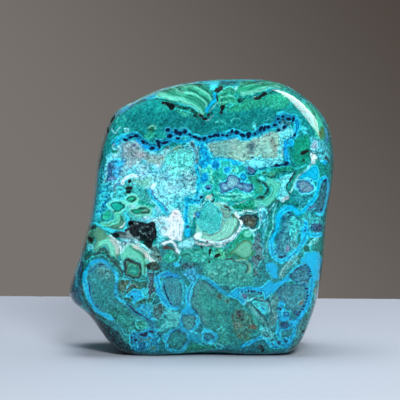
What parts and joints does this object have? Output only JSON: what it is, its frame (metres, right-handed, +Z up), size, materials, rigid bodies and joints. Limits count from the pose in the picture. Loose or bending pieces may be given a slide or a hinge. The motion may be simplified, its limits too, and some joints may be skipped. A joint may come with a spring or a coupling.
{
  "type": "polished chrysocolla specimen",
  "caption": "Polished freeform of chrysocolla and malachite that stands on a flat sawn base, with an open crystal-lined vug and small pits in its show face.",
  "frame": {"origin": "middle of the flat base that the stone stands on", "axes": "+Z up, the show face with the vug towards -Y, +X to the right when looking at the show face"},
  "size_m": [0.1332, 0.0568, 0.1359],
  "materials": {
    "polished_stone": "high-gloss polish",
    "vug_crystals": "natural glassy crystal faces"
  },
  "bodies": {
    "root": {"polished_stone": "polished_stone", "vug_crystals": "vug_crystals"}
  },
  "joints": []
}
